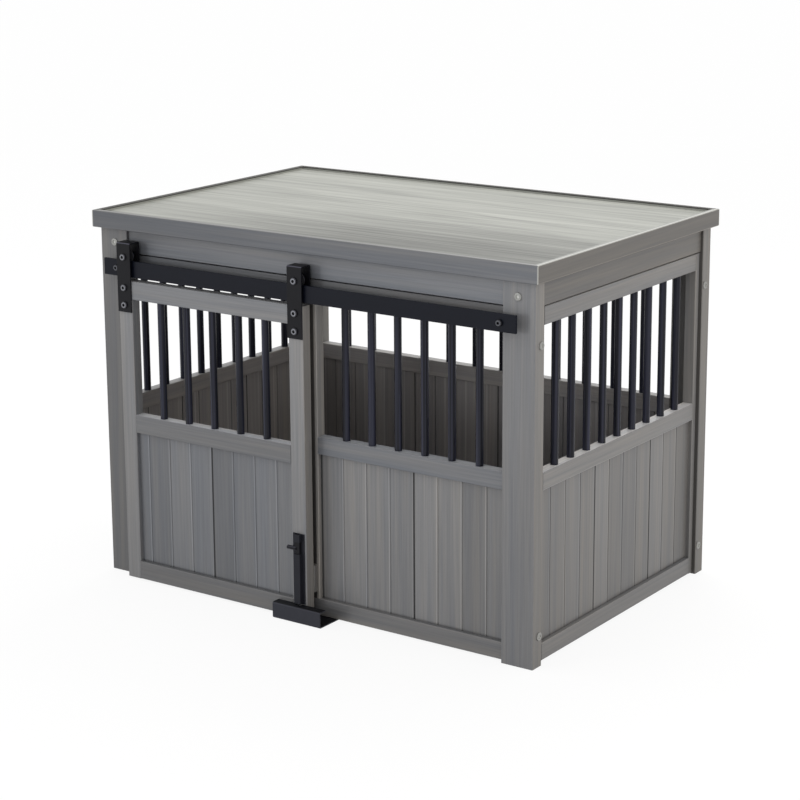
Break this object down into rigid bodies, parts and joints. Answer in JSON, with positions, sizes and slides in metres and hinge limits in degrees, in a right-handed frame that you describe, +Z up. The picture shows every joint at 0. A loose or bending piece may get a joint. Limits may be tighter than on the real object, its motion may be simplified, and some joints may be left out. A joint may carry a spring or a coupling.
{
  "type": "pet crate",
  "caption": "Furniture pet crate with barred and boarded walls, a flat inlaid top and a barn door that hangs on strap rollers and slides along a flat track.",
  "frame": {"origin": "on the floor, under the middle of the crate's outer box, floor guide and top rim included", "axes": "+Z up, +X along the front from the closed door towards the fixed panel, -Y out of the front"},
  "size_m": [1.074, 0.749, 0.777],
  "materials": {
    "grey_board": "matt grey wood grain",
    "top_board": "matt grey wood grain",
    "black_tube": "satin black powder coat",
    "black_steel": "satin black powder coat",
    "black_fastener": "black oxide with worn rims",
    "bare_fastener": "zinc plated",
    "roller_nylon": "matt black"
  },
  "bodies": {
    "crate": {"apron_back": "grey_board", "apron_front": "grey_board", "apron_left": "grey_board", "apron_right": "grey_board", "back_bars": "black_tube", "back_boards": "grey_board", "back_bottom_rail": "grey_board", "back_mid_rail": "grey_board", "back_top_rail": "grey_board", "floor_cleats": "grey_board", "floor_guide": "black_steel", "floor_panel": "grey_board", "front_bars": "black_tube", "front_boards": "grey_board", "front_bottom_rail": "grey_board", "front_mid_rail": "grey_board", "front_stile": "grey_board", "front_top_rail": "grey_board", "guide_block": "grey_board", "left_bars": "black_tube", "left_battens": "grey_board", "left_boards": "grey_board", "left_bottom_rail": "grey_board", "left_mid_rail": "grey_board", "left_top_rail": "grey_board", "post_back_left": "grey_board", "post_back_right": "grey_board", "post_front_left": "grey_board", "post_front_right": "grey_board", "post_screws": "bare_fastener", "right_bars": "black_tube", "right_battens": "grey_board", "right_boards": "grey_board", "right_bottom_rail": "grey_board", "right_mid_rail": "grey_board", "right_top_rail": "grey_board", "top_panel": "top_board", "top_rim_back": "grey_board", "top_rim_front": "grey_board", "top_rim_left": "grey_board", "top_rim_right": "grey_board", "track_bar": "black_steel", "track_bolts": "black_fastener", "track_spacers": "black_steel"},
    "door": {"door_bars": "black_tube", "door_boards": "grey_board", "door_bottom_rail": "grey_board", "door_mid_rail": "grey_board", "door_stile_left": "grey_board", "door_stile_right": "grey_board", "door_top_rail": "grey_board", "hanger_left": "black_steel", "hanger_right": "black_steel", "hanger_screws": "black_fastener", "roller_axles": "black_fastener", "roller_sleeves": "black_fastener", "latch_body": "black_steel"},
    "roller_left": {"roller_left": "roller_nylon"},
    "roller_right": {"roller_right": "roller_nylon"},
    "drop_bolt": {"latch_bolt": "black_steel"}
  },
  "joints": [
    {"name": "door_slide", "type": "slide", "parent": "crate", "child": "door", "axis": [1, 0, 0], "range_m": [0, 0.439]},
    {"name": "roller_left_spin", "type": "hinge", "parent": "door", "child": "roller_left", "pos_m": [-0.4385, -0.346, 0.6915], "axis": [0, 1, 0], "range_deg": [0, 3068]},
    {"name": "roller_right_spin", "type": "hinge", "parent": "door", "child": "roller_right", "pos_m": [-0.0005, -0.346, 0.6915], "axis": [0, 1, 0], "range_deg": [0, 3068]},
    {"name": "drop_bolt_slide", "type": "slide", "parent": "door", "child": "drop_bolt", "axis": [0, 0, 1], "range_m": [-0.007, 0.007]}
  ],
  "couplings": [
    {"joint": "roller_left_spin", "follows": "door_slide", "rad_per_m": 121.95},
    {"joint": "roller_right_spin", "follows": "door_slide", "rad_per_m": 121.95}
  ]
}
